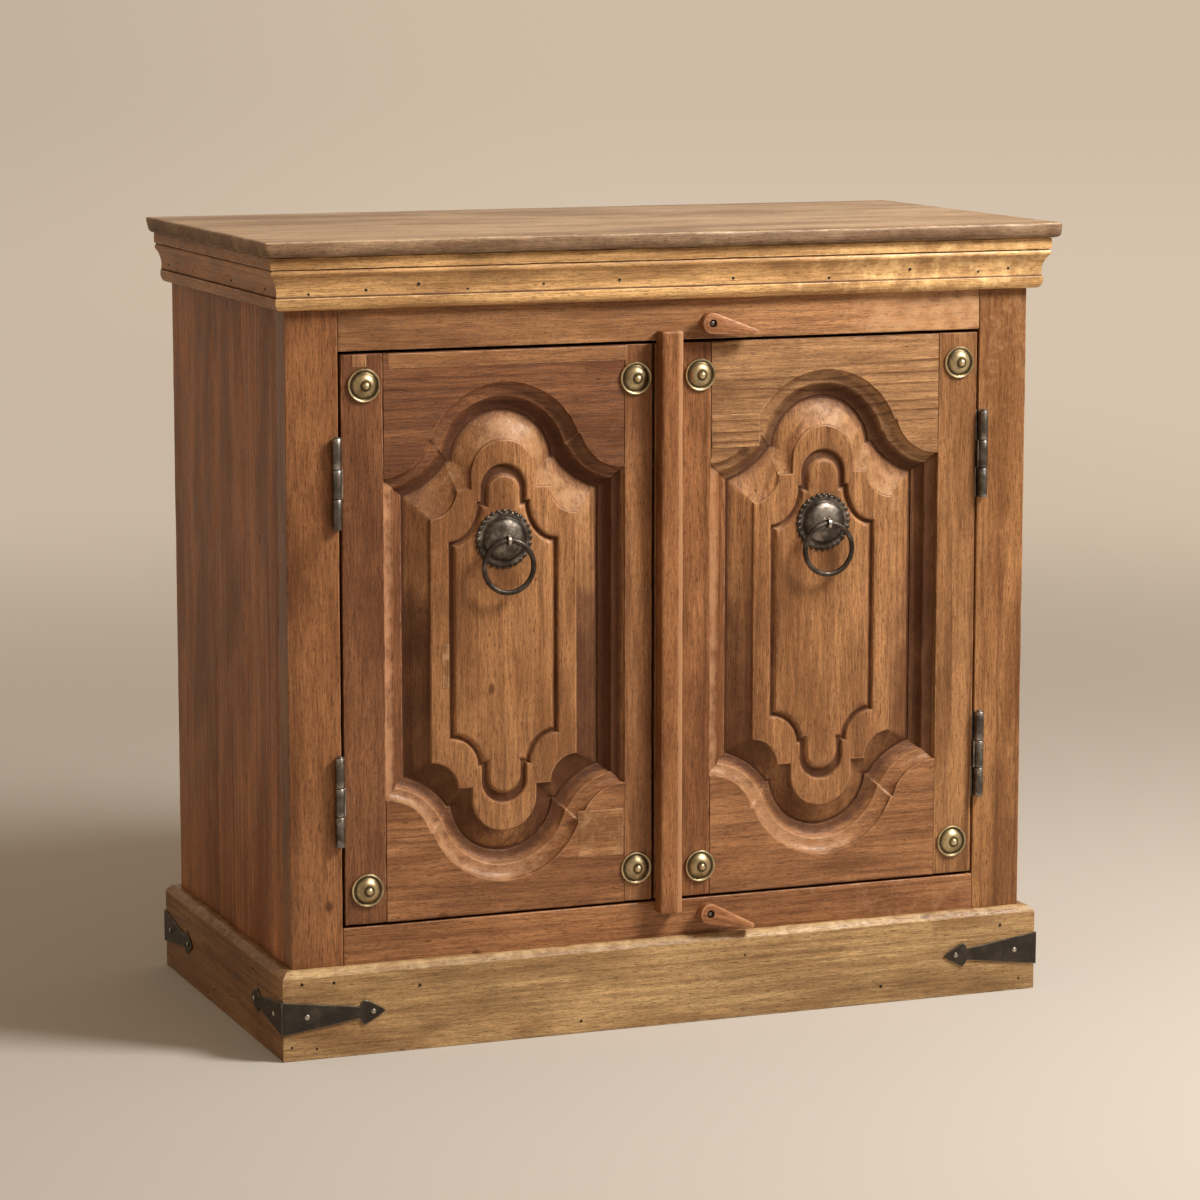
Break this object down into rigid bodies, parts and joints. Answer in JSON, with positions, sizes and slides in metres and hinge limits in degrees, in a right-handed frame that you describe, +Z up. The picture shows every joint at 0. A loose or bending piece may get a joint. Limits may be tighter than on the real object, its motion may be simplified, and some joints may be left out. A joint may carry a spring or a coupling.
{
  "type": "carved two-door cabinet",
  "caption": "Low wooden cabinet with a moulded cornice, hinged doors carved with arched panels, ring pulls, wooden turn latches and a plinth with iron corner straps.",
  "frame": {"origin": "on the floor, under the middle of the whole cabinet's box", "axes": "+X to the right as seen by someone facing the doors, the doors face -Y, +Z up"},
  "size_m": [0.95, 0.4988, 0.9],
  "materials": {
    "golden_wood": "worn oiled hardwood, golden brown, waxed satin",
    "brown_wood": "worn oiled hardwood, mid brown, waxed satin",
    "carved_wood": "carved hardwood, dark in the hollows and pale on worn edges",
    "inner_wood": "plain sawn hardwood, dry and unpolished",
    "iron": "hand-forged iron, blackened",
    "steel": "dark steel, rubbed bright on edges",
    "brass": "aged turned brass"
  },
  "bodies": {
    "cabinet": {"back_boards": "inner_wood", "bottom_board": "inner_wood", "bottom_cleats": "inner_wood", "bottom_front_rail": "golden_wood", "cornice_front": "golden_wood", "cornice_left": "golden_wood", "cornice_right": "golden_wood", "door_stop": "inner_wood", "front_left_strap": "iron", "front_right_strap": "iron", "latch_screws": "steel", "latch_spacers": "golden_wood", "left_front_stile": "brown_wood", "left_hinge_frame_leaves": "steel", "left_hinge_pins": "steel", "left_rear_post": "inner_wood", "left_side_boards": "brown_wood", "plinth_back": "golden_wood", "plinth_front": "golden_wood", "plinth_left": "golden_wood", "plinth_right": "golden_wood", "rear_left_strap": "iron", "rear_right_strap": "iron", "right_front_stile": "brown_wood", "right_hinge_frame_leaves": "steel", "right_hinge_pins": "steel", "right_rear_post": "inner_wood", "right_side_boards": "brown_wood", "shelf": "inner_wood", "shelf_cleats": "inner_wood", "strap_nails": "iron", "top_battens": "inner_wood", "top_board": "golden_wood", "top_front_rail": "golden_wood"},
    "left_door": {"left_door_top_rail": "carved_wood", "left_door_bottom_rail": "carved_wood", "left_door_hinge_stile": "carved_wood", "left_door_meeting_stile": "carved_wood", "left_door_panel": "carved_wood", "left_door_bosses": "brass", "left_pull_plate": "iron", "left_pull_eye": "iron", "left_hinge_door_leaves": "steel"},
    "right_door": {"right_door_top_rail": "carved_wood", "right_door_bottom_rail": "carved_wood", "right_door_hinge_stile": "carved_wood", "right_door_meeting_stile": "carved_wood", "right_door_panel": "carved_wood", "right_door_bosses": "brass", "right_pull_plate": "iron", "right_pull_eye": "iron", "right_hinge_door_leaves": "steel", "door_cover_strip": "brown_wood"},
    "left_ring": {"left_pull_ring": "iron"},
    "right_ring": {"right_pull_ring": "iron"},
    "upper_button": {"upper_latch": "golden_wood"},
    "lower_button": {"lower_latch": "golden_wood"}
  },
  "joints": [
    {"name": "left_door_hinge", "type": "hinge", "parent": "cabinet", "child": "left_door", "pos_m": [-0.389, -0.225, 0.4595], "axis": [0, 0, -1], "range_deg": [0, 165]},
    {"name": "right_door_hinge", "type": "hinge", "parent": "cabinet", "child": "right_door", "pos_m": [0.389, -0.225, 0.4595], "axis": [0, 0, 1], "range_deg": [0, 165]},
    {"name": "left_ring_swing", "type": "hinge", "parent": "left_door", "child": "left_ring", "pos_m": [-0.19305, -0.2297, 0.5643], "axis": [-1, 0, 0], "range_deg": [-11, 160]},
    {"name": "right_ring_swing", "type": "hinge", "parent": "right_door", "child": "right_ring", "pos_m": [0.19305, -0.2297, 0.5643], "axis": [-1, 0, 0], "range_deg": [-11, 160]},
    {"name": "upper_latch_turn", "type": "hinge", "parent": "cabinet", "child": "upper_button", "pos_m": [0.045, -0.2354, 0.797], "axis": [0, -1, 0], "range_deg": [-58, 12]},
    {"name": "lower_latch_turn", "type": "hinge", "parent": "cabinet", "child": "lower_button", "pos_m": [0.045, -0.2354, 0.1255], "axis": [0, -1, 0], "range_deg": [0, 84]}
  ]
}
